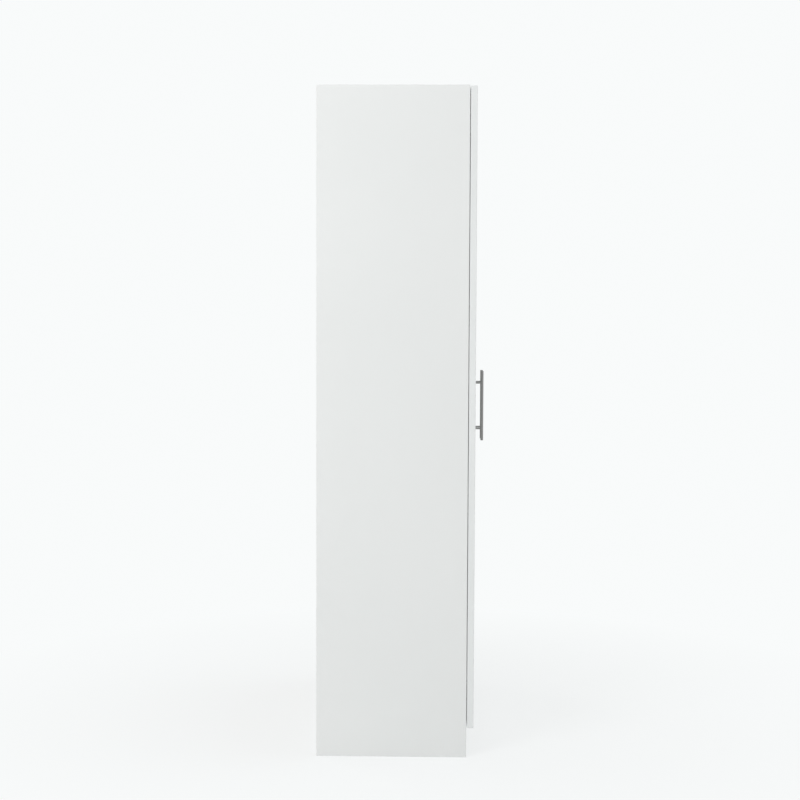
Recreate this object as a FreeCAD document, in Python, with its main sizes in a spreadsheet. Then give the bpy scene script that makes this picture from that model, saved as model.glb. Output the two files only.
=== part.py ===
# Two-door wardrobe of white boards on cam fittings, with concealed cup hinges and bar handles.
# The origin is on the floor under the middle of the outline: X to the right, doors facing -Y, Z up.
# All sizes are in millimetres.
import FreeCAD, Part
import os

doc = FreeCAD.newDocument("wardrobe")
dims = doc.addObject("Spreadsheet::Sheet", "dims")

SIZES = {
    # Carcass
    "height": 1800,
    "width": 800,
    "carcass_depth": 406,
    "board": 18,
    "edging": 1,
    "kick_height": 80,
    "kick_setback": 30,
    "back_thickness": 3,
    "back_inset": 12,
    "groove_depth": 7,
    "groove_play": 0.2,
    "groove_end_play": 1,
    "strip_width": 20,
    "strip_skin": 1.2,
    "strip_web": 1.5,
    "strip_play": 0.2,
    # Shelves
    "hat_shelf_level": 1450,
    "lower_shelf_level": 340,
    "shelf_setback": 20,
    "shelf_back_play": 1.8,
    "shelf_side_play": 0.3,
    "peg_diameter": 5,
    "peg_in_side": 8,
    "peg_reach": 10,
    "peg_collar_diameter": 7.6,
    "peg_collar": 1.2,
    "peg_row_inset": 62,
    "peg_hole_pitch": 32,
    # Cam fittings and dowels
    "cam_row_inset": 60,
    "dowel_row_inset": 110,
    "kick_fitting_offset": 16,
    "cam_diameter": 15,
    "cam_cap": 1.1,
    "cam_reach": 34,
    "cam_slot": 1.6,
    "cam_slot_length": 9,
    "cam_slot_depth": 2.2,
    "bolt_diameter": 6,
    "bolt_bore": 8,
    "bolt_thread_diameter": 5,
    "bolt_thread": 11,
    "bolt_neck_diameter": 4,
    "bolt_neck": 5,
    "bolt_head_diameter": 5.8,
    "bolt_head": 3,
    "bolt_head_play": 0.5,
    "dowel_diameter": 8,
    "dowel_in_side": 10,
    "dowel_in_board": 22,
    "cover_diameter": 18,
    "cover_thickness": 1.2,
    "fit_play": 0.05,
    "end_play": 0.5,
    # Wood screws
    "screw_diameter": 3.5,
    "screw_length": 14,
    "screw_head_diameter": 6.4,
    "screw_head": 1.6,
    "screw_hole_play": 0.15,
    "cup_screw_head": 0.6,
    "cup_recess_depth": 0.4,
    "recess_width": 0.9,
    "recess_length": 4,
    "recess_depth": 1,
    # Hanging rail
    "rail_height": 30,
    "rail_thickness": 15,
    "rail_wall": 1,
    "rail_drop": 55,
    "rail_play": 0.3,
    "socket_base": 2.5,
    "socket_collar": 14,
    "socket_wall": 2,
    "socket_screw_offset": 30,
    # Wall brackets
    "bracket_offset": 250,
    "bracket_leg": 30,
    "bracket_width": 20,
    "bracket_thickness": 2,
    "bracket_hole_diameter": 5.5,
    "bracket_hole_drop": 18,
    "bracket_screw_near": 9,
    "bracket_screw_far": 22,
    "wall_passage_diameter": 9,
    # Doors
    "door_board": 18,
    "door_gap": 1.5,
    "door_reveal": 1,
    "door_meeting_gap": 3,
    "door_top_drop": 2,
    "door_edging": 2,
    "door_edge_radius": 1.6,
    "bumper_diameter": 8,
    "bumper_play": 0.3,
    "bumper_inset": 12,
    # Handles
    "handle_level": 929,
    "handle_inset": 30,
    "bar_diameter": 8,
    "bar_length": 202,
    "bar_standoff": 27.5,
    "bar_chamfer": 0.4,
    "post_diameter": 5,
    "post_spacing": 133,
    "post_in_bar": 3,
    "handle_screw_diameter": 3,
    "handle_screw_grip": 8,
    "handle_screw_head_diameter": 7,
    "handle_screw_head": 2,
    "handle_hole_play": 0.3,
    # Hinges
    "hinge_count": 4,
    "hinge_end_distance": 100,
    "cup_diameter": 35,
    "cup_wall": 0.6,
    "cup_floor": 0.8,
    "cup_edge": 3,
    "cup_bore_play": 0.1,
    "cup_flange": 0.6,
    "ear_width": 14,
    "ear_reach": 30,
    "ear_screw_offset": 24,
    "lug_gap": 0.3,
    "lug_rise": 1.8,
    "pin_diameter": 2,
    "pin_depth": 11,
    "pin_press_play": 0.02,
    "pin_running_play": 0.05,
    "knuckle_diameter": 3.6,
    "nose_half_width": 4.2,
    "nose_play": 0.35,
    "arm_thickness": 1.8,
    "arm_half_width": 6.3,
    "arm_cheek": 1.5,
    "arm_cheek_start": 10,
    "arm_end": 58,
    "arm_inner_bend": 1,
    "plate_base": 2,
    "plate_height": 5,
    "plate_start": 22,
    "plate_end": 56,
    "plate_half_width": 9,
    "plate_side_play": 0.3,
    "wing_start": 30,
    "wing_end": 44,
    "wing_reach": 24,
    "plate_screw_line": 37,
    "plate_screw_offset": 16,
    "arm_screw_line": 49,
    "arm_screw_diameter": 4,
    "arm_screw_grip": 4,
    "arm_screw_head_diameter": 7,
    "arm_screw_head": 1.6,
}
for row, (alias, size) in enumerate(SIZES.items(), start=1):
    dims.set(f"A{row}", alias.replace("_", " "))
    dims.set(f"B{row}", str(size))
    dims.setAlias(f"B{row}", alias)
doc.recompute()

# Places shared by several pieces
HALF = "(dims.width / 2)"
INNER = "(dims.width / 2 - dims.board)"
INNER_WIDTH = "(dims.width - 2 * dims.board)"
OUTLINE_DEPTH = ("(dims.carcass_depth + dims.door_gap + dims.door_board + dims.bar_standoff"
                 " + dims.bar_diameter / 2)")
BACK = f"({OUTLINE_DEPTH} / 2)"
FRONT = f"({BACK} - dims.carcass_depth)"
DOOR_BACK = f"({FRONT} - dims.door_gap)"
DOOR_FRONT = f"({DOOR_BACK} - dims.door_board)"
LINING_REAR = f"({BACK} - dims.back_inset)"
LINING_FRONT = f"({LINING_REAR} - dims.back_thickness)"
DECK = "(dims.kick_height + dims.board)"
CEILING = "(dims.height - dims.board)"
LINING_SPAN = f"({CEILING} - {DECK})"
SHELF_FRONT = f"({FRONT} + dims.shelf_setback)"
SHELF_DEPTH = f"({LINING_FRONT} - dims.strip_skin - dims.shelf_back_play - {SHELF_FRONT})"
SHELF_SIDE_GAP = "(dims.peg_collar + dims.shelf_side_play)"

DIRECTIONS = {
    "+X": ((0, 1, 0), 90),
    "-X": ((0, 1, 0), -90),
    "+Y": ((1, 0, 0), -90),
    "-Y": ((1, 0, 0), 90),
    "+Z": ((0, 0, 1), 0),
}
nodes = []


def value(expression):
    return float(dims.evalExpression(expression))


def turned(axis, angle):
    return FreeCAD.Placement(FreeCAD.Vector(), FreeCAD.Rotation(FreeCAD.Vector(*axis), angle))


def bind(item, **expressions):
    for name, expression in expressions.items():
        item.setExpression(name, expression)
    return item


def put(item, x, y, z):
    for axis, expression in zip("xyz", (x, y, z)):
        item.setExpression(f"Placement.Base.{axis}", expression)
    return item


def box(x, y, z, length, width, height):
    item = doc.addObject("Part::Box", "Block")
    bind(item, Length=length, Width=width, Height=height)
    return put(item, x, y, z)


def rod(x, y, z, direction, diameter, length):
    item = doc.addObject("Part::Cylinder", "Rod")
    item.Placement = turned(*DIRECTIONS[direction])
    bind(item, Radius=f"({diameter}) / 2", Height=length)
    return put(item, x, y, z)


def joined(*items):
    item = doc.addObject("Part::MultiFuse", "Joined")
    item.Shapes = list(items)
    return item


def gathered(*items):
    item = doc.addObject("Part::Compound", "Group")
    item.Links = list(items)
    return item


def cut(base, *tools):
    item = doc.addObject("Part::Cut", "Cut")
    item.Base = base
    item.Tool = joined(*tools) if len(tools) > 1 else tools[0]
    return item


def common(base, tool):
    item = doc.addObject("Part::Common", "Common")
    item.Base = base
    item.Tool = tool
    return item


def mirrored(source):
    item = doc.addObject("Part::Mirroring", "Mirrored")
    item.Source = source
    item.Normal = (1, 0, 0)
    return item


def copy(master, x, y, z, turn=None):
    item = doc.addObject("App::Link", "Copy")
    item.LinkedObject = master
    if turn:
        item.Placement = turned(*turn)
    return put(item, x, y, z)


def rounded(source, chosen, radius):
    doc.recompute()
    item = doc.addObject("Part::Fillet", "Rounded")
    item.Base = source
    size = value(radius)
    edges = enumerate(source.Shape.Edges, start=1)
    item.Edges = [(index, size, size) for index, edge in edges if chosen(edge)]
    return item


def node(label, item):
    item.Label = label
    nodes.append(item)
    return item


def node_pair(name, left):
    node(f"left_{name}", left)
    node(f"right_{name}", mirrored(left))


# Board fittings, given for the left end of each board and mirrored to the right
FRONT_CAM_ROW = f"({FRONT} + dims.cam_row_inset)"
REAR_CAM_ROW = f"({LINING_FRONT} - dims.cam_row_inset)"
FRONT_DOWEL_ROW = f"({FRONT} + dims.dowel_row_inset)"
REAR_DOWEL_ROW = f"({LINING_FRONT} - dims.dowel_row_inset)"
CAM_X = f"(-{INNER} + dims.cam_reach)"
BOARD_LEVELS = (CEILING, "dims.kick_height", "dims.hat_shelf_level")
FRONT_KICK = f"({FRONT} + dims.kick_setback)"
REAR_KICK = f"({BACK} - dims.kick_setback - dims.board)"
KICK_BOLT_LEVEL = "(dims.kick_height / 2 + dims.kick_fitting_offset)"
KICK_DOWEL_LEVEL = "(dims.kick_height / 2 - dims.kick_fitting_offset)"
BOLT_HOLE = "dims.bolt_thread_diameter + 2 * dims.fit_play"
DOWEL_HOLE = "dims.dowel_diameter + 2 * dims.fit_play"
CAM_HOLE = "dims.cam_diameter + 2 * dims.fit_play"
CAM_HEIGHT = "(dims.board / 2 + dims.bolt_diameter / 2 + dims.bolt_head_play + dims.cam_cap)"
CAM_HOLE_DEPTH = f"{CAM_HEIGHT} + dims.end_play"
PEG_HOLE = "dims.peg_diameter + 2 * dims.fit_play"
SCREW_HOLE = "dims.screw_diameter + 2 * dims.fit_play"
SCREW_PASSAGE = "dims.screw_diameter + 2 * dims.screw_hole_play"
SCREW_HOLE_DEPTH = "dims.screw_length"


def middle(level):
    return f"({level} + dims.board / 2)"


bolt_spots = [(row, middle(level)) for level in BOARD_LEVELS for row in (FRONT_CAM_ROW, REAR_CAM_ROW)]
bolt_spots += [(middle(rail), KICK_BOLT_LEVEL) for rail in (FRONT_KICK, REAR_KICK)]
dowel_spots = [(row, middle(level)) for level in BOARD_LEVELS for row in (FRONT_DOWEL_ROW, REAR_DOWEL_ROW)]
dowel_spots += [(middle(rail), KICK_DOWEL_LEVEL) for rail in (FRONT_KICK, REAR_KICK)]

# Shelf pegs: a column of holes in each side, front and rear, with the pegs in the middle ones
FRONT_PEG_ROW = f"({FRONT} + dims.peg_row_inset)"
REAR_PEG_ROW = f"({LINING_FRONT} - dims.peg_row_inset)"
PEG_LEVEL = "(dims.lower_shelf_level - dims.peg_diameter / 2)"
peg_rows = (FRONT_PEG_ROW, REAR_PEG_ROW)
peg_levels = [f"({PEG_LEVEL} + {step} * dims.peg_hole_pitch)" for step in (-2, -1, 0, 1, 2)]

# Hanging rail and hinges: places of the screws in the sides
RAIL_Y = f"(({FRONT} + {LINING_FRONT}) / 2)"
RAIL_LEVEL = "(dims.hat_shelf_level - dims.rail_drop)"
rail_screw_levels = [f"({RAIL_LEVEL} {sign} dims.socket_screw_offset)" for sign in "+-"]
DOOR_HEIGHT = "(dims.height - dims.door_top_drop - dims.kick_height)"
HINGE_PITCH = f"(({DOOR_HEIGHT} - 2 * dims.hinge_end_distance) / (dims.hinge_count - 1))"
hinge_levels = [f"(dims.kick_height + dims.hinge_end_distance + {step} * {HINGE_PITCH})"
                for step in range(round(value("dims.hinge_count")))]
PLATE_SCREW_Y = f"({FRONT} + dims.plate_screw_line)"
plate_screw_levels = [f"({level} {sign} dims.plate_screw_offset)" for level in hinge_levels for sign in "+-"]


# Side panels
def side_hole(y, z, diameter, depth):
    return rod(f"-{INNER}", y, z, "-X", diameter, depth)


side_tools = [box(f"-{INNER} - dims.groove_depth", f"{LINING_FRONT} - dims.groove_play",
                  f"{DECK} - dims.groove_depth", "dims.groove_depth",
                  "dims.back_thickness + 2 * dims.groove_play", f"{LINING_SPAN} + 2 * dims.groove_depth")]
side_tools += [side_hole(y, z, BOLT_HOLE, "dims.bolt_thread + dims.end_play") for y, z in bolt_spots]
side_tools += [side_hole(y, z, DOWEL_HOLE, "dims.dowel_in_side + dims.end_play") for y, z in dowel_spots]
side_tools += [side_hole(y, z, PEG_HOLE, "dims.peg_in_side + dims.end_play")
               for y in peg_rows for z in peg_levels]
side_tools += [side_hole(RAIL_Y, z, SCREW_HOLE, SCREW_HOLE_DEPTH) for z in rail_screw_levels]
side_tools += [side_hole(PLATE_SCREW_Y, z, SCREW_HOLE, SCREW_HOLE_DEPTH) for z in plate_screw_levels]
side_board = box(f"-{HALF}", f"{FRONT} + dims.edging", "0", "dims.board",
                 "dims.carcass_depth - dims.edging", "dims.height")
node_pair("side_panel", cut(side_board, *side_tools))


# Boards between the sides
def board_end_tools(level, rows, dowel_rows):
    tools = []
    for row in rows:
        tools.append(rod(f"-{INNER}", row, middle(level), "+X", "dims.bolt_bore", "dims.cam_reach"))
        tools.append(rod(CAM_X, row, level, "+Z", CAM_HOLE, CAM_HOLE_DEPTH))
    for row in dowel_rows:
        tools.append(rod(f"-{INNER}", row, middle(level), "+X", DOWEL_HOLE,
                         "dims.dowel_in_board + dims.end_play"))
    ends = joined(*tools)
    return [ends, mirrored(ends)]


def between_sides(level, front, depth):
    return box(f"-{INNER}", f"{front} + dims.edging", level, INNER_WIDTH, f"{depth} - dims.edging",
               "dims.board")


def lining_groove(level):
    return box(f"-{INNER}", f"{LINING_FRONT} - dims.groove_play", level, INNER_WIDTH,
               "dims.back_thickness + 2 * dims.groove_play", "dims.groove_depth")


cam_rows = (FRONT_CAM_ROW, REAR_CAM_ROW)
dowel_rows = (FRONT_DOWEL_ROW, REAR_DOWEL_ROW)
bracket_screw_rows = [f"({LINING_FRONT} - dims.bracket_screw_{place})" for place in ("near", "far")]
bracket_screw_holes = joined(*[rod("-dims.bracket_offset", row, CEILING, "+Z", SCREW_HOLE, SCREW_HOLE_DEPTH)
                               for row in bracket_screw_rows])
node("top_panel", cut(between_sides(CEILING, FRONT, "dims.carcass_depth"), lining_groove(CEILING),
                      bracket_screw_holes, mirrored(bracket_screw_holes),
                      *board_end_tools(CEILING, cam_rows, dowel_rows)))
node("bottom_panel", cut(between_sides("dims.kick_height", FRONT, "dims.carcass_depth"),
                         lining_groove(f"{DECK} - dims.groove_depth"),
                         *board_end_tools("dims.kick_height", cam_rows, dowel_rows)))
node("hat_shelf", cut(between_sides("dims.hat_shelf_level", SHELF_FRONT, SHELF_DEPTH),
                      *board_end_tools("dims.hat_shelf_level", cam_rows, dowel_rows)))
LOWER_SHELF_WIDTH = f"({INNER_WIDTH} - 2 * {SHELF_SIDE_GAP})"
node("lower_shelf", box(f"-{LOWER_SHELF_WIDTH} / 2", f"{SHELF_FRONT} + dims.edging", "dims.lower_shelf_level",
                        LOWER_SHELF_WIDTH, f"{SHELF_DEPTH} - dims.edging", "dims.board"))


# Kick rails on edge under the bottom panel, with their cams facing the space between them
def kick_rail(label, y, cam_face, cam_direction):
    rail = box(f"-{INNER}", y, "0", INNER_WIDTH, "dims.board", "dims.kick_height")
    ends = joined(
        rod(f"-{INNER}", middle(y), KICK_BOLT_LEVEL, "+X", "dims.bolt_bore", "dims.cam_reach"),
        rod(CAM_X, cam_face, KICK_BOLT_LEVEL, cam_direction, CAM_HOLE, CAM_HOLE_DEPTH),
        rod(f"-{INNER}", middle(y), KICK_DOWEL_LEVEL, "+X", DOWEL_HOLE,
            "dims.dowel_in_board + dims.end_play"))
    node(label, cut(rail, ends, mirrored(ends)))


kick_rail("front_kick_rail", FRONT_KICK, f"({FRONT_KICK} + dims.board)", "-Y")
kick_rail("rear_kick_rail", REAR_KICK, REAR_KICK, "+Y")

# Back panels in the grooves, and the strip that joins them in the middle
LINING_OUT = f"({INNER} + dims.groove_depth - dims.groove_end_play)"
LINING_IN = "(dims.strip_web / 2 + dims.strip_play)"
LINING_TUCK = "(dims.groove_depth - dims.groove_end_play)"
BRACKET_HOLE_LEVEL = f"({CEILING} - dims.bracket_hole_drop)"
back_board = box(f"-{LINING_OUT}", LINING_FRONT, f"{DECK} - {LINING_TUCK}", f"{LINING_OUT} - {LINING_IN}",
                 "dims.back_thickness", f"{LINING_SPAN} + 2 * {LINING_TUCK}")
wall_passage = rod("-dims.bracket_offset", LINING_FRONT, BRACKET_HOLE_LEVEL, "+Y",
                   "dims.wall_passage_diameter", "dims.back_thickness")
node_pair("back_panel", cut(back_board, wall_passage))
strip_skins = [box("-dims.strip_width / 2", y, DECK, "dims.strip_width", "dims.strip_skin", LINING_SPAN)
               for y in (f"{LINING_FRONT} - dims.strip_skin", LINING_REAR)]
strip_web = box("-dims.strip_web / 2", LINING_FRONT, DECK, "dims.strip_web", "dims.back_thickness",
                LINING_SPAN)
node("back_joining_strip", joined(strip_web, *strip_skins))


# Edging on the front edges of the boards
def edging(x, front, level, length):
    return box(x, front, level, length, "dims.edging", "dims.board")


side_edging = box(f"-{HALF}", FRONT, "0", "dims.board", "dims.edging", "dims.height")
node("carcass_edging", gathered(
    side_edging,
    mirrored(side_edging),
    edging(f"-{INNER}", FRONT, CEILING, INNER_WIDTH),
    edging(f"-{INNER}", FRONT, "dims.kick_height", INNER_WIDTH),
    edging(f"-{INNER}", SHELF_FRONT, "dims.hat_shelf_level", INNER_WIDTH),
    edging(f"-{LOWER_SHELF_WIDTH} / 2", SHELF_FRONT, "dims.lower_shelf_level", LOWER_SHELF_WIDTH)))

# Cam bolts: threaded into a side at the origin, with the head in the cam
bolt = joined(
    rod("-dims.bolt_thread", "0", "0", "+X", "dims.bolt_thread_diameter", "dims.bolt_thread"),
    rod("0", "0", "0", "+X", "dims.bolt_diameter", "dims.cam_reach - dims.bolt_neck"),
    rod("dims.cam_reach - dims.bolt_neck", "0", "0", "+X", "dims.bolt_neck_diameter", "dims.bolt_neck"),
    rod("dims.cam_reach - dims.bolt_head / 2", "0", "0", "+X", "dims.bolt_head_diameter", "dims.bolt_head"))
left_bolts = gathered(*[copy(bolt, f"-{INNER}", y, z) for y, z in bolt_spots])
node("cam_bolts", gathered(left_bolts, mirrored(left_bolts)))

# Cam locks: open to the bolt on one side, with a cross slot in the face at the origin
cam_pocket = rod("dims.bolt_head / 2 + dims.bolt_head_play", "0", "dims.board / 2", "-X",
                 "dims.bolt_diameter + 2 * dims.bolt_head_play", "dims.cam_diameter")
cam_slots = joined(
    box("-dims.cam_slot_length / 2", "-dims.cam_slot / 2", "0",
        "dims.cam_slot_length", "dims.cam_slot", "dims.cam_slot_depth"),
    box("-dims.cam_slot / 2", "-dims.cam_slot_length / 2", "0",
        "dims.cam_slot", "dims.cam_slot_length", "dims.cam_slot_depth"))
cam = cut(rod("0", "0", "0", "+Z", "dims.cam_diameter", CAM_HEIGHT), cam_pocket, cam_slots)
left_cams = gathered(
    *[copy(cam, CAM_X, row, level) for level in BOARD_LEVELS for row in cam_rows],
    copy(cam, CAM_X, f"{FRONT_KICK} + dims.board", KICK_BOLT_LEVEL, ((1, 0, 0), 90)),
    copy(cam, CAM_X, REAR_KICK, KICK_BOLT_LEVEL, ((1, 0, 0), -90)))
node("cam_locks", gathered(left_cams, mirrored(left_cams)))
left_covers = gathered(*[rod(CAM_X, row, f"{level} - dims.cover_thickness", "+Z", "dims.cover_diameter",
                             "dims.cover_thickness")
                         for level in (CEILING, "dims.hat_shelf_level") for row in cam_rows])
node("cam_covers", gathered(left_covers, mirrored(left_covers)))

# Dowels and shelf pegs
left_dowels = gathered(*[rod(f"-{INNER} - dims.dowel_in_side", y, z, "+X", "dims.dowel_diameter",
                             "dims.dowel_in_side + dims.dowel_in_board") for y, z in dowel_spots])
node("dowels", gathered(left_dowels, mirrored(left_dowels)))
left_pegs = gathered(*[joined(
    rod(f"-{INNER} - dims.peg_in_side", row, PEG_LEVEL, "+X", "dims.peg_diameter",
        "dims.peg_in_side + dims.peg_reach"),
    rod(f"-{INNER}", row, PEG_LEVEL, "+X", "dims.peg_collar_diameter", "dims.peg_collar"))
    for row in peg_rows])
node("shelf_pegs", gathered(left_pegs, mirrored(left_pegs)))


# Screws: the head's seat is at the origin and the shank runs to +X
def screw(diameter, length, head_diameter, head, recess_depth="dims.recess_depth"):
    recess = joined(*[
        box(f"-({head})", f"-dims.recess_{first} / 2", f"-dims.recess_{second} / 2",
            recess_depth, f"dims.recess_{first}", f"dims.recess_{second}")
        for first, second in (("width", "length"), ("length", "width"))])
    return cut(joined(rod("0", "0", "0", "+X", diameter, length),
                      rod(f"-({head})", "0", "0", "+X", head_diameter, head)), recess)


INTO_SIDE = ((0, 0, 1), 180)
INTO_DOOR = ((0, 0, 1), -90)
INTO_TOP = ((0, 1, 0), -90)


# A wood screw passes through the fitting under its head and stops short of the hole's end
def wood_screw(fitting):
    return screw("dims.screw_diameter", f"dims.screw_length + {fitting} - dims.end_play",
                 "dims.screw_head_diameter", "dims.screw_head")


# Hanging rail in sockets on the sides
def oval(x, length, height, thickness):
    bow = f"(({height}) - ({thickness})) / 2"
    return joined(
        box(x, f"{RAIL_Y} - ({thickness}) / 2", f"{RAIL_LEVEL} - {bow}", length, thickness, f"2 * {bow}"),
        rod(x, RAIL_Y, f"{RAIL_LEVEL} + {bow}", "+X", thickness, length),
        rod(x, RAIL_Y, f"{RAIL_LEVEL} - {bow}", "+X", thickness, length))


RAIL_HALF = f"({INNER} - dims.socket_base - dims.end_play)"
node("hanging_rail", cut(
    oval(f"-{RAIL_HALF}", f"2 * {RAIL_HALF}", "dims.rail_height", "dims.rail_thickness"),
    oval(f"-{RAIL_HALF}", f"2 * {RAIL_HALF}", "dims.rail_height - 2 * dims.rail_wall",
         "dims.rail_thickness - 2 * dims.rail_wall")))
SOCKET_EXTRA = "2 * (dims.rail_play + dims.socket_wall)"
socket_base = oval(f"-{INNER}", "dims.socket_base",
                   f"2 * dims.socket_screw_offset + dims.rail_thickness + {SOCKET_EXTRA}",
                   f"dims.rail_thickness + {SOCKET_EXTRA}")
socket_collar = oval(f"-{INNER}", "dims.socket_base + dims.socket_collar",
                     f"dims.rail_height + {SOCKET_EXTRA}", f"dims.rail_thickness + {SOCKET_EXTRA}")
socket_mouth = oval(f"-{INNER} + dims.socket_base", "dims.socket_collar",
                    "dims.rail_height + 2 * dims.rail_play", "dims.rail_thickness + 2 * dims.rail_play")
socket = cut(joined(socket_base, socket_collar), socket_mouth,
             *[rod(f"-{INNER}", RAIL_Y, z, "+X", SCREW_PASSAGE, "dims.socket_base")
               for z in rail_screw_levels])
node("rail_sockets", gathered(socket, mirrored(socket)))
socket_screw = wood_screw("dims.socket_base")
left_socket_screws = gathered(*[copy(socket_screw, f"-{INNER} + dims.socket_base", RAIL_Y, z, INTO_SIDE)
                                for z in rail_screw_levels])
node("rail_socket_screws", gathered(left_socket_screws, mirrored(left_socket_screws)))

# Wall brackets in the rear corner under the top panel
BRACKET_X = "(-dims.bracket_offset - dims.bracket_width / 2)"
bracket_legs = joined(
    box(BRACKET_X, f"{LINING_FRONT} - dims.bracket_thickness", f"{CEILING} - dims.bracket_leg",
        "dims.bracket_width", "dims.bracket_thickness", "dims.bracket_leg"),
    box(BRACKET_X, f"{LINING_FRONT} - dims.bracket_leg", f"{CEILING} - dims.bracket_thickness",
        "dims.bracket_width", "dims.bracket_leg", "dims.bracket_thickness"))
bracket_holes = [rod("-dims.bracket_offset", row, f"{CEILING} - dims.bracket_thickness", "+Z", SCREW_PASSAGE,
                     "dims.bracket_thickness") for row in bracket_screw_rows]
bracket_holes.append(rod("-dims.bracket_offset", f"{LINING_FRONT} - dims.bracket_thickness",
                         BRACKET_HOLE_LEVEL, "+Y", "dims.bracket_hole_diameter", "dims.bracket_thickness"))
bracket = cut(bracket_legs, *bracket_holes)
node("wall_brackets", gathered(bracket, mirrored(bracket)))
bracket_screw = wood_screw("dims.bracket_thickness")
left_bracket_screws = gathered(*[copy(bracket_screw, "-dims.bracket_offset", row,
                                      f"{CEILING} - dims.bracket_thickness", INTO_TOP)
                                 for row in bracket_screw_rows])
node("wall_bracket_screws", gathered(left_bracket_screws, mirrored(left_bracket_screws)))

# Doors: a core with edging on its four sides, rounded along the faces
DOOR_X = f"(-{HALF} + dims.door_reveal)"
DOOR_WIDTH = "(dims.width / 2 - dims.door_reveal - dims.door_meeting_gap / 2)"
HANDLE_X = "(-dims.door_meeting_gap / 2 - dims.handle_inset)"
CUP_X = f"({DOOR_X} + dims.cup_edge + dims.cup_diameter / 2)"
CUP_DEPTH = "(dims.pin_depth + dims.knuckle_diameter / 2 + dims.nose_play + dims.cup_floor)"
post_levels = [f"(dims.handle_level {sign} dims.post_spacing / 2)" for sign in "+-"]
ear_levels = [f"({level} {sign} dims.ear_screw_offset)" for level in hinge_levels for sign in "+-"]

door_core = box(f"{DOOR_X} + dims.door_edging", DOOR_FRONT, "dims.kick_height + dims.door_edging",
                f"{DOOR_WIDTH} - 2 * dims.door_edging", "dims.door_board",
                f"{DOOR_HEIGHT} - 2 * dims.door_edging")
door_tools = [rod(CUP_X, DOOR_BACK, z, "-Y", "dims.cup_diameter + 2 * dims.cup_bore_play",
                  f"{CUP_DEPTH} + dims.cup_bore_play") for z in hinge_levels]
door_tools += [rod(CUP_X, DOOR_BACK, z, "-Y", SCREW_HOLE, SCREW_HOLE_DEPTH) for z in ear_levels]
door_tools += [rod(HANDLE_X, DOOR_BACK, z, "-Y", "dims.handle_screw_diameter + 2 * dims.handle_hole_play",
                   "dims.door_board") for z in post_levels]
node_pair("door_panel", cut(door_core, *door_tools))

door_block = box(DOOR_X, DOOR_FRONT, "dims.kick_height", DOOR_WIDTH, "dims.door_board", DOOR_HEIGHT)
door_faces = [value(DOOR_FRONT), value(DOOR_BACK)]


def along_door_face(edge):
    ends = edge.BoundBox
    return any(abs(ends.YMin - y) + abs(ends.YMax - y) < 0.001 for y in door_faces)


door_outline = rounded(door_block, along_door_face, "dims.door_edge_radius")
upright_strips = [box(x, DOOR_FRONT, "dims.kick_height", "dims.door_edging", "dims.door_board", DOOR_HEIGHT)
                  for x in (DOOR_X, f"{DOOR_X} + {DOOR_WIDTH} - dims.door_edging")]
level_strips = [box(f"{DOOR_X} + dims.door_edging", DOOR_FRONT, z, f"{DOOR_WIDTH} - 2 * dims.door_edging",
                    "dims.door_board", "dims.door_edging")
                for z in ("dims.kick_height", f"dims.kick_height + {DOOR_HEIGHT} - dims.door_edging")]
node_pair("door_edging", gathered(*[common(door_outline, strip) for strip in upright_strips + level_strips]))
BUMPER_X = "(-dims.door_meeting_gap / 2 - dims.bumper_inset)"
node_pair("door_bumpers", gathered(*[rod(BUMPER_X, DOOR_BACK, middle(level), "+Y", "dims.bumper_diameter",
                                         "dims.door_gap - dims.bumper_play")
                                     for level in (CEILING, "dims.kick_height")]))

# Handles: a bar on two posts, held by screws from inside the door
BAR_Y = f"({DOOR_FRONT} - dims.bar_standoff)"
POST_LENGTH = "(dims.bar_standoff - dims.bar_diameter / 2 + dims.post_in_bar)"
bar_rod = rod(HANDLE_X, BAR_Y, "dims.handle_level - dims.bar_length / 2", "+Z", "dims.bar_diameter",
              "dims.bar_length")
doc.recompute()
bar_ends = doc.addObject("Part::Chamfer", "BarEnds")
bar_ends.Base = bar_rod
bar_ends.Edges = [(index, value("dims.bar_chamfer"), value("dims.bar_chamfer"))
                  for index, edge in enumerate(bar_rod.Shape.Edges, start=1) if edge.isClosed()]
node_pair("handle_bar", cut(bar_ends, *[rod(HANDLE_X, DOOR_FRONT, z, "-Y",
                                            "dims.post_diameter + 2 * dims.fit_play",
                                            f"{POST_LENGTH} + dims.fit_play") for z in post_levels]))
node_pair("handle_posts", gathered(*[cut(
    rod(HANDLE_X, DOOR_FRONT, z, "-Y", "dims.post_diameter", POST_LENGTH),
    rod(HANDLE_X, DOOR_FRONT, z, "-Y", "dims.handle_screw_diameter + 2 * dims.fit_play",
        "dims.handle_screw_grip + dims.end_play"))
    for z in post_levels]))
handle_screw = screw("dims.handle_screw_diameter", "dims.door_board + dims.handle_screw_grip",
                     "dims.handle_screw_head_diameter", "dims.handle_screw_head")
node_pair("handle_screws", gathered(*[copy(handle_screw, HANDLE_X, DOOR_BACK, z, INTO_DOOR)
                                      for z in post_levels]))

# Hinge pieces, drawn once at floor level and copied to each hinge.
# The pin lies as near the cup's round wall as the knuckle's width and its play allow.
CUP_INSIDE = "(dims.cup_diameter / 2 - dims.cup_wall)"
PIN_FROM_CUP = (f"(sqrt({CUP_INSIDE} ^ 2 - dims.nose_half_width ^ 2) - dims.knuckle_diameter / 2"
                " - dims.nose_play)")
PIN_HALF = f"(sqrt({CUP_INSIDE} ^ 2 - {PIN_FROM_CUP} ^ 2) - dims.end_play)"
PIN_X = f"({CUP_X} - {PIN_FROM_CUP})"
PIN_Y = f"({DOOR_BACK} - dims.pin_depth)"
CUP_FLOOR = f"({DOOR_BACK} - {CUP_DEPTH})"
LUG_START = "(dims.nose_half_width + dims.lug_gap)"


def at_hinges(master):
    return gathered(*[copy(master, "0", "0", level) for level in hinge_levels])


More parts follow.
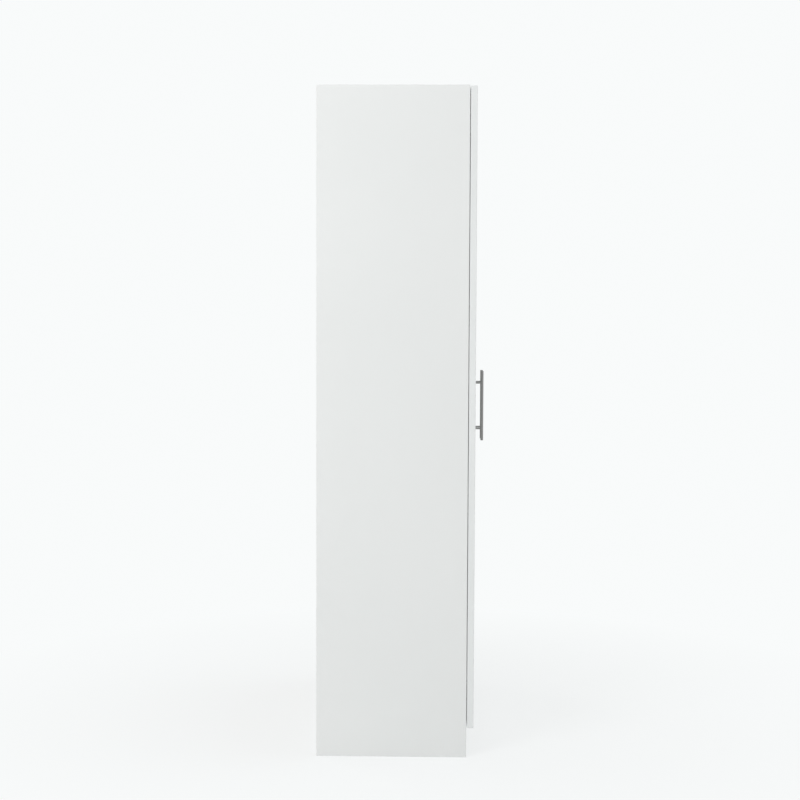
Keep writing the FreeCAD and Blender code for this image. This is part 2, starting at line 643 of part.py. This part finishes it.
# Cup with a flange, two screw ears and two lugs that hold the pin
cup_body = rod(CUP_X, f"{DOOR_BACK} + dims.cup_flange", "0", "-Y", "dims.cup_diameter",
               f"{CUP_DEPTH} + dims.cup_flange")
cup_ears = box(f"{CUP_X} - dims.ear_width / 2", DOOR_BACK, "-dims.ear_reach", "dims.ear_width",
               "dims.cup_flange", "2 * dims.ear_reach")
cup_hollow = rod(CUP_X, f"{DOOR_BACK} + dims.cup_flange", "0", "-Y", f"2 * {CUP_INSIDE}",
                 f"{CUP_DEPTH} + dims.cup_flange - dims.cup_floor")
ear_holes = [rod(CUP_X, DOOR_BACK, f"{sign} dims.ear_screw_offset", "+Y", SCREW_PASSAGE, "dims.cup_flange")
             for sign in "+-"]
cup_shell = cut(joined(cup_body, cup_ears), cup_hollow, *ear_holes)
lug_solid = rod(CUP_X, DOOR_BACK, "0", "-Y", "dims.cup_diameter - dims.cup_wall", CUP_DEPTH)
LUG_HEIGHT = "(dims.cup_diameter / 2)"
lugs = [common(box(DOOR_X, CUP_FLOOR, z, f"{PIN_X} - {DOOR_X} + dims.knuckle_diameter / 2",
                   f"{PIN_Y} + dims.lug_rise - {CUP_FLOOR}", LUG_HEIGHT), lug_solid)
        for z in (LUG_START, f"-{LUG_START} - {LUG_HEIGHT}")]
pin_bore = rod(PIN_X, PIN_Y, "-dims.cup_diameter / 2", "+Z", "dims.pin_diameter + 2 * dims.pin_press_play",
               "dims.cup_diameter")
node_pair("hinge_cups", at_hinges(cut(joined(cup_shell, *lugs), pin_bore)))
node_pair("hinge_pins", gathered(*[rod(PIN_X, PIN_Y, f"{level} - {PIN_HALF}", "+Z", "dims.pin_diameter",
                                       f"2 * {PIN_HALF}") for level in hinge_levels]))
cup_screw = screw("dims.screw_diameter", "dims.screw_length + dims.cup_flange - dims.end_play",
                  "dims.screw_head_diameter", "dims.cup_screw_head", "dims.cup_recess_depth")
node_pair("cup_screws", gathered(*[copy(cup_screw, CUP_X, f"{DOOR_BACK} + dims.cup_flange", z, INTO_DOOR)
                                   for z in ear_levels]))

# Arm: a knuckle on the pin, a narrow neck out of the cup, and a body with two cheeks along the side
ARM_X = f"(-{INNER} + dims.plate_height)"
ARM_NOSE = f"({PIN_Y} - dims.knuckle_diameter / 2)"
ARM_END = f"({FRONT} + dims.arm_end)"
NOSE_WIDTH = "2 * dims.nose_half_width"
CHEEK_X = f"(-{INNER} + dims.plate_base + dims.plate_side_play)"
CHEEK_Y = f"({FRONT} + dims.arm_cheek_start)"
arm_lead = box(PIN_X, ARM_NOSE, "-dims.nose_half_width", f"{ARM_X} + dims.arm_thickness - {PIN_X}",
               "dims.arm_thickness", NOSE_WIDTH)
arm_neck = box(ARM_X, ARM_NOSE, "-dims.nose_half_width", "dims.arm_thickness", f"{CHEEK_Y} - {ARM_NOSE}",
               NOSE_WIDTH)
arm_body = box(ARM_X, CHEEK_Y, "-dims.arm_half_width", "dims.arm_thickness", f"{ARM_END} - {CHEEK_Y}",
               "2 * dims.arm_half_width")
arm_bend = joined(arm_lead, arm_neck)
bend_corners = {
    "outer": (value(f"{ARM_X} + dims.arm_thickness"), value(ARM_NOSE)),
    "inner": (value(ARM_X), value(f"{ARM_NOSE} + dims.arm_thickness")),
}


def at_corner(place):
    x, y = bend_corners[place]

    def chosen(edge):
        ends = edge.BoundBox
        return max(abs(ends.XMin - x), abs(ends.XMax - x), abs(ends.YMin - y), abs(ends.YMax - y)) < 0.001

    return chosen


arm_inside_bent = rounded(arm_bend, at_corner("inner"), "dims.arm_inner_bend")
arm_bent = rounded(arm_inside_bent, at_corner("outer"), "dims.arm_inner_bend + dims.arm_thickness")
knuckle = rod(PIN_X, PIN_Y, "-dims.nose_half_width", "+Z", "dims.knuckle_diameter", NOSE_WIDTH)
cheeks = [box(CHEEK_X, CHEEK_Y, z, f"{ARM_X} + dims.arm_thickness - {CHEEK_X}", f"{ARM_END} - {CHEEK_Y}",
              "dims.arm_cheek") for z in ("dims.arm_half_width", "-dims.arm_half_width - dims.arm_cheek")]
ARM_SCREW_Y = f"({FRONT} + dims.arm_screw_line)"
knuckle_bore = rod(PIN_X, PIN_Y, "-dims.nose_half_width", "+Z",
                   "dims.pin_diameter + 2 * dims.pin_running_play", NOSE_WIDTH)
arm_screw_hole = rod(ARM_X, ARM_SCREW_Y, "0", "+X", "dims.arm_screw_diameter + 2 * dims.handle_hole_play",
                     "dims.arm_thickness")
node_pair("hinge_arms", at_hinges(cut(joined(arm_bent, arm_body, knuckle, *cheeks), knuckle_bore,
                                      arm_screw_hole)))

# Mounting plate: a winged base on the side and a block under the arm
plate_start = f"{FRONT} + dims.plate_start"
plate_length = "dims.plate_end - dims.plate_start"
BLOCK_HALF = "(dims.arm_half_width - dims.plate_side_play)"
plate_solid = joined(
    box(f"-{INNER}", f"{FRONT} + dims.wing_start", "-dims.wing_reach", "dims.plate_base",
        "dims.wing_end - dims.wing_start", "2 * dims.wing_reach"),
    box(f"-{INNER}", plate_start, "-dims.plate_half_width", "dims.plate_base", plate_length,
        "2 * dims.plate_half_width"),
    box(f"-{INNER}", plate_start, f"-{BLOCK_HALF}", "dims.plate_height", plate_length, f"2 * {BLOCK_HALF}"))
plate_holes = [rod(f"-{INNER}", PLATE_SCREW_Y, f"{sign} dims.plate_screw_offset", "+X", SCREW_PASSAGE,
                   "dims.plate_base") for sign in "+-"]
arm_screw_thread = rod(ARM_X, ARM_SCREW_Y, "0", "-X", "dims.arm_screw_diameter + 2 * dims.fit_play",
                       "dims.plate_height")
node_pair("hinge_plates", at_hinges(cut(plate_solid, arm_screw_thread, *plate_holes)))
plate_screw = wood_screw("dims.plate_base")
node_pair("plate_screws", gathered(*[copy(plate_screw, f"-{INNER} + dims.plate_base", PLATE_SCREW_Y, z,
                                          INTO_SIDE) for z in plate_screw_levels]))
arm_screw = screw("dims.arm_screw_diameter", "dims.arm_thickness + dims.arm_screw_grip",
                  "dims.arm_screw_head_diameter", "dims.arm_screw_head")
node_pair("arm_screws", gathered(*[copy(arm_screw, f"{ARM_X} + dims.arm_thickness", ARM_SCREW_Y, z, INTO_SIDE)
                                   for z in hinge_levels]))

# Check every object, then write one file for each piece
doc.recompute()
for item in doc.Objects:
    if {"Invalid", "Error"} & set(item.State):
        raise RuntimeError(f"{item.Label} did not build: {item.State}")
os.makedirs("parts", exist_ok=True)
for item in nodes:
    if item.Shape.isNull() or not item.Shape.isValid():
        raise RuntimeError(f"{item.Label} has no valid shape")
    item.Shape.exportStep(f"parts/{item.Label}.step")
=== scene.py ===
import math

import bpy
from mathutils import Matrix, Vector

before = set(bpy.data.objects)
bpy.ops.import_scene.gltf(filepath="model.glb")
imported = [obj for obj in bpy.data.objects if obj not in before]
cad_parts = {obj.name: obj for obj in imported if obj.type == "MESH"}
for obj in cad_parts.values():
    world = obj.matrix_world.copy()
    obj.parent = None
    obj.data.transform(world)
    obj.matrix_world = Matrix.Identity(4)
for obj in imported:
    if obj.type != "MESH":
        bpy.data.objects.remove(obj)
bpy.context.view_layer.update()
scene = bpy.context.scene
scene.view_settings.view_transform = "Standard"


# Camera, fitted to the corners of the side panel, door and handle in the picture
CAMERA_PLACE = Vector((-4.391, -0.0955, 1.230))
CAMERA_YAW = math.radians(-1.44)
CAMERA_PITCH = math.radians(3.75)
CAMERA_ROLL = math.radians(0.21)
LENS_MM = 67.5
SENSOR_MM = 36


def turned(first, second, angle):
    return (math.cos(angle) * first + math.sin(angle) * second,
            math.cos(angle) * second - math.sin(angle) * first)


def aim_camera():
    forward, right, down = Vector((1, 0, 0)), Vector((0, -1, 0)), Vector((0, 0, -1))
    forward, right = turned(forward, right, CAMERA_YAW)
    forward, down = turned(forward, down, CAMERA_PITCH)
    right, down = turned(right, down, -CAMERA_ROLL)
    camera = bpy.data.objects.new("camera", bpy.data.cameras.new("camera"))
    scene.collection.objects.link(camera)
    axes = Matrix((right, -down, -forward)).transposed()
    camera.matrix_world = Matrix.Translation(CAMERA_PLACE) @ axes.to_4x4()
    camera.data.lens = LENS_MM
    camera.data.sensor_width = SENSOR_MM
    scene.camera = camera


# Node graphs: short calls that add a shader node, feed it and give its result
MIX_NUMBER_INPUTS = (0, 2, 3)
MIX_NUMBER_OUTPUT = 0
MIX_COLOUR_INPUTS = (0, 6, 7)
MIX_COLOUR_OUTPUT = 2


class Graph:
    def __init__(self, tree):
        self.tree = tree

    def add(self, kind, inputs=None, **settings):
        node = self.tree.nodes.new(kind)
        for name, setting in settings.items():
            setattr(node, name, setting)
        for name, source in (inputs or {}).items():
            self.feed(node, name, source)
        return node

    def feed(self, node, name, source):
        if isinstance(source, bpy.types.NodeSocket):
            self.tree.links.new(source, node.inputs[name])
        else:
            node.inputs[name].default_value = source

    def math(self, operation, *values):
        inputs = dict(enumerate(values))
        return self.add("ShaderNodeMath", inputs, operation=operation).outputs[0]

    def axis(self, vector, name):
        return self.add("ShaderNodeSeparateXYZ", {"Vector": vector}).outputs[name]

    def noise(self, place, scale=1, detail=2, stretch=None):
        if stretch:
            place = self.add("ShaderNodeMapping", {"Vector": place, "Scale": stretch}).outputs[0]
        inputs = {"Vector": place, "Scale": scale, "Detail": detail}
        return self.add("ShaderNodeTexNoise", inputs).outputs[0]

    def ramp(self, factor, stops):
        node = self.add("ShaderNodeValToRGB", {"Fac": factor})
        elements = node.color_ramp.elements
        for position, _ in stops[1:-1]:
            elements.new(position)
        for element, (position, colour) in zip(elements, stops):
            element.position = position
            element.color = (*colour, 1)
        return node.outputs[0]

    def span(self, factor, low, high):
        inputs = {"Value": factor, "To Min": low, "To Max": high}
        return self.add("ShaderNodeMapRange", inputs).outputs[0]

    def mix(self, factor, first, second):
        inputs = dict(zip(MIX_NUMBER_INPUTS, (factor, first, second)))
        return self.add("ShaderNodeMix", inputs).outputs[MIX_NUMBER_OUTPUT]

    def mix_colour(self, factor, first, second):
        inputs = dict(zip(MIX_COLOUR_INPUTS, (factor, first, second)))
        return self.add("ShaderNodeMix", inputs, data_type="RGBA").outputs[MIX_COLOUR_OUTPUT]

    def mix_shaders(self, factor, first, second):
        inputs = {0: factor, 1: first.outputs[0], 2: second.outputs[0]}
        return self.add("ShaderNodeMixShader", inputs).outputs[0]

    def bump(self, height, strength, distance):
        inputs = {"Height": height, "Strength": strength, "Distance": distance}
        return self.add("ShaderNodeBump", inputs).outputs[0]


def material(name, **constants):
    made = bpy.data.materials.new(name)
    made.use_nodes = True
    shader = made.node_tree.nodes["Principled BSDF"]
    for socket, constant in constants.items():
        shader.inputs[socket.replace("_", " ")].default_value = constant
    graph = Graph(made.node_tree)
    coordinates = graph.add("ShaderNodeTexCoord")
    return made, graph, shader, coordinates.outputs["Object"], coordinates.outputs["Normal"]


# Colours that wander with a noise, as places along a ramp and the colour at each
LAMINATE = ((0.3, (0.789, 0.803, 0.795)), (0.7, (0.804, 0.817, 0.809)))
PARTICLE_BOARD = ((0.33, (0.25, 0.165, 0.095)), (0.48, (0.43, 0.315, 0.20)), (0.66, (0.58, 0.455, 0.31)))
BAND = ((0.3, (0.775, 0.795, 0.790)), (0.7, (0.795, 0.813, 0.807)))
BROWN_FIBRES = ((0.3, (0.178, 0.104, 0.056)), (0.5, (0.232, 0.141, 0.079)), (0.7, (0.275, 0.172, 0.098)))
WHITE_COAT = ((0.3, (0.735, 0.752, 0.742)), (0.7, (0.757, 0.773, 0.764)))
PLASTIC = ((0.3, (0.74, 0.755, 0.75)), (0.7, (0.775, 0.79, 0.785)))
BEECH = ((0.35, (0.45, 0.28, 0.15)), (0.6, (0.66, 0.47, 0.29)))
RUBBER = ((0.3, (0.80, 0.81, 0.80)), (0.7, (0.88, 0.89, 0.88)))

# A normal's share along a board's thickness, above which a point lies on the board's face
FACE_LIMIT = 0.5


# Satin laminate on the two faces of a board, raw particle board where the board is cut or drilled
ABOVE_ALL = 10.0
RAW_ROUGHNESS = 0.85
PEARL_HEIGHT = 0.9


def board_material(name, face_axis, raw_below=ABOVE_ALL):
    made, graph, shader, place, normal = material(name)
    white = graph.ramp(graph.noise(place, scale=2.3), LAMINATE)
    chips = graph.noise(place, scale=320, detail=4)
    core = graph.ramp(chips, PARTICLE_BOARD)
    across = graph.math("ABSOLUTE", graph.axis(normal, face_axis))
    cut_edge = graph.math("LESS_THAN", across, FACE_LIMIT)
    unbanded = graph.math("LESS_THAN", graph.axis(place, "Z"), raw_below)
    raw = graph.math("MULTIPLY", cut_edge, unbanded)
    graph.feed(shader, "Base Color", graph.mix_colour(raw, white, core))
    sheen = graph.span(graph.noise(place, scale=55, detail=3), low=0.46, high=0.58)
    graph.feed(shader, "Roughness", graph.mix(raw, sheen, RAW_ROUGHNESS))
    pearl = graph.math("MULTIPLY", graph.noise(place, scale=750, detail=1), PEARL_HEIGHT)
    height = graph.mix(raw, pearl, chips)
    graph.feed(shader, "Normal", graph.bump(height, strength=0.35, distance=0.0004))
    return made


# Plastic edge band: a shade cooler and glossier than the laminate, with faint upright lines
def edge_material(name):
    made, graph, shader, place, _ = material(name)
    graph.feed(shader, "Base Color", graph.ramp(graph.noise(place, scale=3.1), BAND))
    lines = graph.noise(place, stretch=(1500, 1500, 12))
    graph.feed(shader, "Roughness", graph.span(lines, low=0.38, high=0.50))
    graph.feed(shader, "Normal", graph.bump(lines, strength=0.08, distance=0.0003))
    return made


# Hardboard: white coat towards the inside, brown fibres and a pressed screen pattern behind
PATCH_SHARE = 0.3
COAT_ROUGHNESS = 0.45
COAT_HEIGHT = 0.5
SCREEN_RADIANS_PER_M = 2600
SCREEN_HEIGHT = 0.3


def hardboard_material(name):
    made, graph, shader, place, normal = material(name)
    coated = graph.math("LESS_THAN", graph.axis(normal, "Y"), -FACE_LIMIT)
    fibres = graph.noise(place, detail=6, stretch=(520, 520, 300))
    patches = graph.noise(place, scale=7, detail=3)
    brown = graph.ramp(graph.mix(PATCH_SHARE, fibres, patches), BROWN_FIBRES)
    white = graph.ramp(graph.noise(place, scale=2.7), WHITE_COAT)
    graph.feed(shader, "Base Color", graph.mix_colour(coated, brown, white))
    fuzz = graph.span(fibres, low=0.65, high=0.85)
    graph.feed(shader, "Roughness", graph.mix(coated, fuzz, COAT_ROUGHNESS))
    turns = [graph.math("MULTIPLY", graph.axis(place, axis), SCREEN_RADIANS_PER_M) for axis in ("X", "Z")]
    screen = graph.math("MULTIPLY", *[graph.math("SINE", turn) for turn in turns])
    pressed = graph.math("ADD", graph.math("MULTIPLY", screen, SCREEN_HEIGHT), fibres)
    height = graph.mix(coated, pressed, COAT_HEIGHT)
    graph.feed(shader, "Normal", graph.bump(height, strength=0.4, distance=0.0003))
    return made


# Metals: a colour that wanders a little with fine marks, drawn out where the metal is brushed or rolled
METALS = {
    "brushed_handle": {
        "dark": (0.218, 0.218, 0.214), "light": (0.338, 0.338, 0.333),
        "roughness": (0.26, 0.42), "stretch": (2600, 2600, 40), "relief": 0.12,
    },
    "nickel_steel": {
        "dark": (0.41, 0.397, 0.372), "light": (0.49, 0.475, 0.445),
        "roughness": (0.24, 0.38), "stretch": (240, 60, 240), "relief": 0.08,
    },
    "zinc_steel": {
        "dark": (0.33, 0.332, 0.34), "light": (0.43, 0.432, 0.44),
        "roughness": (0.40, 0.56), "stretch": (500, 500, 500), "relief": 0.12,
    },
    "zinc_alloy": {
        "dark": (0.28, 0.28, 0.288), "light": (0.36, 0.36, 0.37),
        "roughness": (0.42, 0.6), "stretch": (900, 900, 900), "relief": 0.3,
    },
    "chromed_tube": {
        "dark": (0.54, 0.545, 0.55), "light": (0.61, 0.615, 0.62),
        "roughness": (0.14, 0.22), "stretch": (6, 900, 900), "relief": 0.04,
    },
}


def metal_material(name, dark, light, roughness, stretch, relief):
    made, graph, shader, place, _ = material(name, Metallic=1.0)
    marks = graph.noise(place, detail=3, stretch=stretch)
    graph.feed(shader, "Base Color", graph.ramp(marks, ((0.25, dark), (0.75, light))))
    graph.feed(shader, "Roughness", graph.span(marks, *roughness))
    graph.feed(shader, "Normal", graph.bump(marks, strength=relief, distance=0.0002))
    return made


# Moulded plastic: fine spark texture
def plastic_material(name):
    made, graph, shader, place, _ = material(name)
    graph.feed(shader, "Base Color", graph.ramp(graph.noise(place, scale=14), PLASTIC))
    grain = graph.noise(place, scale=1800, detail=1)
    graph.feed(shader, "Roughness", graph.span(grain, low=0.34, high=0.46))
    graph.feed(shader, "Normal", graph.bump(grain, strength=0.15, distance=0.0002))
    return made


# Beech: short dark flecks along the dowel
def beech_material(name):
    made, graph, shader, place, _ = material(name)
    flecks = graph.noise(place, detail=4, stretch=(180, 900, 900))
    graph.feed(shader, "Base Color", graph.ramp(flecks, BEECH))
    graph.feed(shader, "Roughness", graph.span(flecks, low=0.55, high=0.7))
    graph.feed(shader, "Normal", graph.bump(flecks, strength=0.3, distance=0.0003))
    return made


# Clear rubber: cloudy and soft
def rubber_material(name):
    made, graph, shader, place, _ = material(name, Transmission_Weight=0.7, IOR=1.45)
    cloud = graph.noise(place, scale=300)
    graph.feed(shader, "Base Color", graph.ramp(cloud, RUBBER))
    graph.feed(shader, "Roughness", graph.span(cloud, low=0.25, high=0.4))
    return made


# The sides' top edges are white above this height, and their other cut edges are raw
SIDE_WHITE_ABOVE = 1.7995
board_faces_x = board_material("laminate_upright", "X", raw_below=SIDE_WHITE_ABOVE)
board_faces_y = board_material("laminate_front", "Y")
board_faces_z = board_material("laminate_level", "Z")
edge_band = edge_material("edge_band")
hardboard = hardboard_material("hardboard")
white_plastic = plastic_material("white_plastic")
beech = beech_material("beech")
clear_rubber = rubber_material("clear_rubber")
metals = {name: metal_material(name, **look) for name, look in METALS.items()}

# The material of each node, by the longest of these words in its name
FINISHES = {
    "side_panel": board_faces_x,
    "door_panel": board_faces_y,
    "kick_rail": board_faces_y,
    "top_panel": board_faces_z,
    "bottom_panel": board_faces_z,
    "shelf": board_faces_z,
    "edging": edge_band,
    "back_panel": hardboard,
    "back_joining_strip": white_plastic,
    "cam_covers": white_plastic,
    "shelf_pegs": metals["zinc_steel"],
    "dowels": beech,
    "cam_bolts": metals["zinc_steel"],
    "cam_locks": metals["zinc_alloy"],
    "screws": metals["zinc_steel"],
    "wall_brackets": metals["zinc_steel"],
    "rail_sockets": metals["zinc_alloy"],
    "hanging_rail": metals["chromed_tube"],
    "bumpers": clear_rubber,
    "handle_bar": metals["brushed_handle"],
    "handle_posts": metals["brushed_handle"],
    "hinge_": metals["nickel_steel"],
}


def finish_nodes():
    for name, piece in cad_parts.items():
        words = [word for word in FINISHES if word in name]
        piece.data.materials.clear()
        piece.data.materials.append(FINISHES[max(words, key=len)])


# Small rounds on the edges of boards and fittings, in metres, by a word in the node's name
EDGE_ROUNDS = {
    "panel": 0.0004,
    "shelf": 0.0004,
    "kick_rail": 0.0004,
    "hinge_": 0.00025,
    "brackets": 0.0003,
    "sockets": 0.0005,
    "covers": 0.0003,
    "handle_bar": 0.0003,
}
WELD_DISTANCE = 0.00001
FLAT_ANGLE = math.radians(1)
SHARP_ANGLE = math.radians(40)
ROUND_SEGMENTS = 2


def round_edges():
    for name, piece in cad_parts.items():
        widths = [width for word, width in EDGE_ROUNDS.items() if word in name]
        if widths:
            weld = piece.modifiers.new("weld", "WELD")
            weld.merge_threshold = WELD_DISTANCE
            flat = piece.modifiers.new("flat", "DECIMATE")
            flat.decimate_type = "DISSOLVE"
            flat.angle_limit = FLAT_ANGLE
            bevel = piece.modifiers.new("round", "BEVEL")
            bevel.width = min(widths)
            bevel.segments = ROUND_SEGMENTS
            bevel.limit_method = "ANGLE"
            bevel.angle_limit = SHARP_ANGLE
            bevel.use_clamp_overlap = False
            bevel.harden_normals = True


# Studio: an even backdrop, and a pale floor that keeps the shadow
BACKDROP = (0.945, 0.962, 0.962, 1)
AMBIENT_COLOUR = (1, 1, 1, 1)
AMBIENT_STRENGTH = 0.55
FLOOR_COLOUR = (0.84, 0.85, 0.85, 1)
FLOOR_REACH = 30

# The backdrop's share of the floor grows between these distances from the middle, in metres
FLOOR_FADE = {"From Min": 0.5, "From Max": 1.6, "To Min": 0.78, "To Max": 1.0}


def seen_rays(graph):
    rays = graph.add("ShaderNodeLightPath").outputs
    seen = graph.math("MAXIMUM", rays["Is Camera Ray"], rays["Is Glossy Ray"])
    return graph.math("MAXIMUM", seen, rays["Is Transmission Ray"])


def make_world():
    world = bpy.data.worlds.new("studio")
    world.use_nodes = True
    scene.world = world
    graph = Graph(world.node_tree)
    ambient = world.node_tree.nodes["Background"]
    ambient.inputs["Color"].default_value = AMBIENT_COLOUR
    ambient.inputs["Strength"].default_value = AMBIENT_STRENGTH
    shown = graph.add("ShaderNodeBackground", {"Color": BACKDROP, "Strength": 1.0})
    surface = graph.mix_shaders(seen_rays(graph), ambient, shown)
    graph.feed(world.node_tree.nodes["World Output"], "Surface", surface)


def floor_material():
    pale = bpy.data.materials.new("pale_floor")
    pale.use_nodes = True
    graph = Graph(pale.node_tree)
    pale.node_tree.nodes.remove(pale.node_tree.nodes["Principled BSDF"])
    place = graph.add("ShaderNodeTexCoord").outputs["Object"]
    distance = graph.add("ShaderNodeVectorMath", {0: place}, operation="LENGTH").outputs["Value"]
    fade = graph.add("ShaderNodeMapRange", {"Value": distance, **FLOOR_FADE}).outputs[0]
    lit = graph.add("ShaderNodeBsdfDiffuse", {"Color": FLOOR_COLOUR})
    plain = graph.add("ShaderNodeEmission", {"Color": BACKDROP, "Strength": 1.0})
    surface = graph.mix_shaders(graph.math("MULTIPLY", seen_rays(graph), fade), lit, plain)
    graph.feed(pale.node_tree.nodes["Material Output"], "Surface", surface)
    return pale


def make_floor():
    mesh = bpy.data.meshes.new("floor")
    signs = ((-1, -1), (1, -1), (1, 1), (-1, 1))
    corners = [(x * FLOOR_REACH, y * FLOOR_REACH, 0) for x, y in signs]
    mesh.from_pydata(corners, [], [tuple(range(len(corners)))])
    mesh.materials.append(floor_material())
    floor = bpy.data.objects.new("floor", mesh)
    scene.collection.objects.link(floor)


# Soft lamps light the object without being mirrored in it, so that metal and gloss show the backdrop
LAMP_SIZE = 2.4
LAMPS = {
    "key": {"place": (-3.5, 2.6, 2.9), "target": (-0.4, 0, 2.1), "power": 105.5},
    "front": {"place": (0.2, -4.4, 1.6), "target": (0, -0.2, 1.2), "power": 57},
    "rear": {"place": (2.6, 3.8, 1.7), "target": (0, 0.2, 0.9), "power": 50},
    "overhead": {"place": (0, 0, 4.6), "target": (0, 0, 1.8), "power": 10},
}


def make_lamp(name, place, target, power):
    lamp = bpy.data.lights.new(name, "AREA")
    lamp.shape = "DISK"
    lamp.size = LAMP_SIZE
    lamp.energy = power
    holder = bpy.data.objects.new(name, lamp)
    scene.collection.objects.link(holder)
    holder.visible_glossy = False
    holder.location = place
    holder.rotation_euler = (Vector(target) - Vector(place)).to_track_quat("-Z", "Y").to_euler()


aim_camera()
finish_nodes()
round_edges()
make_world()
make_floor()
for name, settings in LAMPS.items():
    make_lamp(name, **settings)
